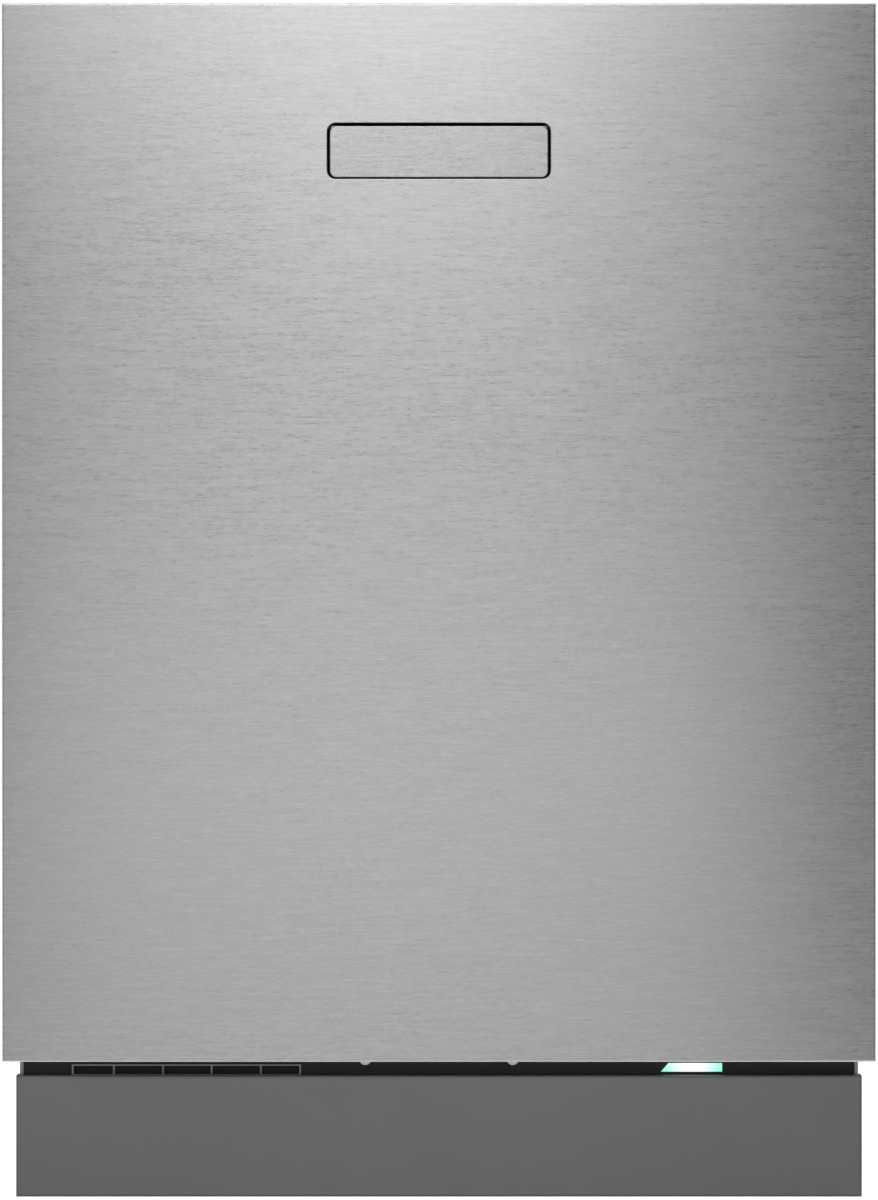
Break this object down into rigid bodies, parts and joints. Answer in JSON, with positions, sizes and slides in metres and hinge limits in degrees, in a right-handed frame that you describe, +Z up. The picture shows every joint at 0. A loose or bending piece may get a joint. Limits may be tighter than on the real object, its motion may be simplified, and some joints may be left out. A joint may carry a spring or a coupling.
{
  "type": "built-in dishwasher",
  "caption": "Built-in dishwasher with a brushed steel drop-down door, flap handle, two sliding racks, cutlery tray, spray arms, levelling feet and kickplate.",
  "frame": {"origin": "on the floor, under the middle of the bounding box with the door closed", "axes": "+X to the right, +Y to the back, +Z up; the door's outer face looks along -Y"},
  "size_m": [0.597, 0.559, 0.82],
  "materials": {
    "door_steel": "satin",
    "flap_steel": "satin",
    "tub_steel": "satin",
    "zinc_steel": "satin",
    "screw_steel": "satin",
    "spring_steel": "satin",
    "kick_paint": "satin",
    "base_paint": "satin",
    "base_plastic": "matte",
    "black_plastic": "satin",
    "grille_plastic": "satin",
    "panel_plastic": "satin",
    "button_plastic": "satin",
    "window": "gloss",
    "board": "satin",
    "light_lens": "gloss",
    "rack_wire": "satin",
    "tine_wire": "satin",
    "grey_plastic": "satin",
    "pale_plastic": "satin",
    "tank_plastic": "satin",
    "cap_plastic": "satin",
    "filter_steel": "satin",
    "seal_rubber": "matte",
    "felt": "matte",
    "white_plastic": "satin"
  },
  "bodies": {
    "cabinet": {"tub": "tub_steel", "tub_gasket": "seal_rubber", "base_tray": "base_plastic", "base_front_panel": "base_paint", "vent_grille": "grille_plastic", "kickplate": "kick_paint", "panel_screws": "screw_steel", "sound_blankets": "felt", "side_water_tank": "tank_plastic", "countertop_brackets": "zinc_steel", "supply_tube": "grey_plastic", "sump_housing": "grey_plastic", "filter_plate": "filter_steel", "wash_pump": "grey_plastic", "drain_pump": "pale_plastic", "inlet_valve": "white_plastic", "terminal_box": "black_plastic", "hinge_plates": "zinc_steel", "hinge_springs": "spring_steel", "rack_guides": "zinc_steel", "strike_plate": "zinc_steel", "status_light": "light_lens"},
    "door": {"door_skin": "door_steel", "door_liner": "tub_steel", "door_insulation": "felt", "control_panel": "panel_plastic", "control_board": "board", "display_window": "window", "handle_pocket": "black_plastic", "dispenser_body": "pale_plastic", "latch_body": "black_plastic", "hinge_arms": "zinc_steel", "door_screws": "screw_steel"},
    "upper_rack_body": {"upper_rack": "rack_wire", "upper_feed_tube": "grey_plastic"},
    "handle_flap_body": {"handle_flap": "flap_steel"},
    "power_button_body": {"power_button": "button_plastic"},
    "program_button_body": {"program_button": "button_plastic"},
    "start_button_body": {"start_button": "button_plastic"},
    "detergent_lid_body": {"detergent_lid": "grey_plastic"},
    "rinse_aid_cap_body": {"rinse_aid_cap": "cap_plastic"},
    "latch_hook_body": {"latch_hook": "zinc_steel"},
    "lower_rack_body": {"lower_rack": "rack_wire"},
    "plate_tines_body": {"plate_tines": "tine_wire"},
    "front_left_wheel_body": {"front_left_wheel": "grey_plastic"},
    "front_right_wheel_body": {"front_right_wheel": "grey_plastic"},
    "rear_left_wheel_body": {"rear_left_wheel": "grey_plastic"},
    "rear_right_wheel_body": {"rear_right_wheel": "grey_plastic"},
    "cup_shelf_left_body": {"cup_shelf_left": "tine_wire"},
    "cup_shelf_right_body": {"cup_shelf_right": "tine_wire"},
    "cutlery_tray_body": {"cutlery_tray": "grey_plastic"},
    "upper_rack_rails_body": {"upper_rack_rails": "zinc_steel"},
    "lower_spray_arm_body": {"lower_spray_arm": "grey_plastic"},
    "upper_spray_arm_body": {"upper_spray_arm": "grey_plastic"},
    "top_spray_arm_body": {"top_spray_arm": "grey_plastic"},
    "filter_cylinder_body": {"filter_cylinder": "pale_plastic"},
    "float_cap_body": {"float_cap": "pale_plastic"},
    "front_foot_left_body": {"front_foot_left": "black_plastic"},
    "front_foot_right_body": {"front_foot_right": "black_plastic"},
    "rear_feet_body": {"rear_feet": "black_plastic"}
  },
  "joints": [
    {"name": "door_hinge", "type": "hinge", "parent": "cabinet", "child": "door", "pos_m": [0, -0.25, 0.12], "axis": [1, 0, 0], "range_deg": [0, 90], "stiffness_Nm_per_rad": 22, "springref_deg": -5.73, "deforming": ["hinge_springs"]},
    {"name": "handle_flap_hinge", "type": "hinge", "parent": "door", "child": "handle_flap_body", "pos_m": [0, -0.2745, 0.7355], "axis": [1, 0, 0], "range_deg": [0, 38], "stiffness_Nm_per_rad": 0.15, "springref_deg": -22.92},
    {"name": "power_button_press", "type": "slide", "parent": "door", "child": "power_button_body", "axis": [0, 0, 1], "range_m": [-0.0015, 0], "stiffness_N_per_m": 400, "springref_m": 0.001},
    {"name": "program_button_press", "type": "slide", "parent": "door", "child": "program_button_body", "axis": [0, 0, 1], "range_m": [-0.0015, 0], "stiffness_N_per_m": 400, "springref_m": 0.001},
    {"name": "start_button_press", "type": "slide", "parent": "door", "child": "start_button_body", "axis": [0, 0, 1], "range_m": [-0.0015, 0], "stiffness_N_per_m": 400, "springref_m": 0.001},
    {"name": "detergent_lid_slide", "type": "slide", "parent": "door", "child": "detergent_lid_body", "axis": [1, 0, 0], "range_m": [0, 0.062]},
    {"name": "rinse_aid_cap_turn", "type": "hinge", "parent": "door", "child": "rinse_aid_cap_body", "pos_m": [0.076, -0.2225, 0.425], "axis": [0, 1, 0], "range_deg": [0, 90]},
    {"name": "latch_hook_pivot", "type": "hinge", "parent": "door", "child": "latch_hook_body", "pos_m": [0, -0.25, 0.788], "axis": [1, 0, 0], "range_deg": [0, 11.5], "stiffness_Nm_per_rad": 0.2, "springref_deg": -17.19},
    {"name": "lower_rack_slide", "type": "slide", "parent": "cabinet", "child": "lower_rack_body", "axis": [0, -1, 0], "range_m": [0, 0.145]},
    {"name": "front_left_wheel_roll", "type": "hinge", "parent": "lower_rack_body", "child": "front_left_wheel_body", "pos_m": [-0.25, -0.108, 0.1624], "axis": [1, 0, 0], "range_deg": [0, 488.7]},
    {"name": "front_right_wheel_roll", "type": "hinge", "parent": "lower_rack_body", "child": "front_right_wheel_body", "pos_m": [0.25, -0.108, 0.1624], "axis": [1, 0, 0], "range_deg": [0, 488.7]},
    {"name": "rear_left_wheel_roll", "type": "hinge", "parent": "lower_rack_body", "child": "rear_left_wheel_body", "pos_m": [-0.25, 0.15, 0.1624], "axis": [1, 0, 0], "range_deg": [0, 488.7]},
    {"name": "rear_right_wheel_roll", "type": "hinge", "parent": "lower_rack_body", "child": "rear_right_wheel_body", "pos_m": [0.25, 0.15, 0.1624], "axis": [1, 0, 0], "range_deg": [0, 488.7]},
    {"name": "plate_tines_fold", "type": "hinge", "parent": "lower_rack_body", "child": "plate_tines_body", "pos_m": [0, 0.07, 0.1996], "axis": [1, 0, 0], "range_deg": [0, 84]},
    {"name": "upper_rack_slide", "type": "slide", "parent": "cabinet", "child": "upper_rack_body", "axis": [0, -1, 0], "range_m": [0, 0.45]},
    {"name": "upper_rack_rails_slide", "type": "slide", "parent": "cabinet", "child": "upper_rack_rails_body", "axis": [0, -1, 0], "range_m": [0, 0.225]},
    {"name": "cup_shelf_left_fold", "type": "hinge", "parent": "upper_rack_body", "child": "cup_shelf_left_body", "pos_m": [-0.231, 0, 0.575], "axis": [0, -1, 0], "range_deg": [0, 92]},
    {"name": "cup_shelf_right_fold", "type": "hinge", "parent": "upper_rack_body", "child": "cup_shelf_right_body", "pos_m": [0.231, 0, 0.575], "axis": [0, 1, 0], "range_deg": [0, 92]},
    {"name": "cutlery_tray_slide", "type": "slide", "parent": "cabinet", "child": "cutlery_tray_body", "axis": [0, -1, 0], "range_m": [0, 0.3]},
    {"name": "lower_spray_arm_spin", "type": "hinge", "parent": "cabinet", "child": "lower_spray_arm_body", "pos_m": [0, 0.012, 0.161], "axis": [0, 0, 1], "continuous": true},
    {"name": "upper_spray_arm_spin", "type": "hinge", "parent": "upper_rack_body", "child": "upper_spray_arm_body", "pos_m": [0, 0.012, 0.461], "axis": [0, 0, 1], "continuous": true},
    {"name": "top_spray_arm_spin", "type": "hinge", "parent": "cabinet", "child": "top_spray_arm_body", "pos_m": [0, 0.012, 0.755], "axis": [0, 0, 1], "continuous": true},
    {"name": "filter_cylinder_twist", "type": "hinge", "parent": "cabinet", "child": "filter_cylinder_body", "pos_m": [0.092, -0.048, 0.117], "axis": [0, 0, 1], "range_deg": [0, 90]},
    {"name": "float_rise", "type": "slide", "parent": "cabinet", "child": "float_cap_body", "axis": [0, 0, 1], "range_m": [0, 0.006]},
    {"name": "front_foot_left_adjust", "type": "slide", "parent": "cabinet", "child": "front_foot_left_body", "axis": [0, 0, 1], "range_m": [-0.05, 0]},
    {"name": "front_foot_right_adjust", "type": "slide", "parent": "cabinet", "child": "front_foot_right_body", "axis": [0, 0, 1], "range_m": [-0.05, 0]},
    {"name": "rear_feet_adjust", "type": "slide", "parent": "cabinet", "child": "rear_feet_body", "axis": [0, 0, 1], "range_m": [-0.05, 0]}
  ],
  "couplings": [
    {"joint": "upper_rack_slide", "follows": "door_hinge", "m_per_rad": 0.28648},
    {"joint": "upper_rack_rails_slide", "follows": "door_hinge", "m_per_rad": 0.14324},
    {"joint": "cutlery_tray_slide", "follows": "door_hinge", "m_per_rad": 0.19099},
    {"joint": "lower_rack_slide", "follows": "door_hinge", "m_per_rad": 0.09231},
    {"joint": "front_left_wheel_roll", "follows": "door_hinge", "ratio": 5.43},
    {"joint": "front_right_wheel_roll", "follows": "door_hinge", "ratio": 5.43},
    {"joint": "rear_left_wheel_roll", "follows": "door_hinge", "ratio": 5.43},
    {"joint": "rear_right_wheel_roll", "follows": "door_hinge", "ratio": 5.43}
  ]
}
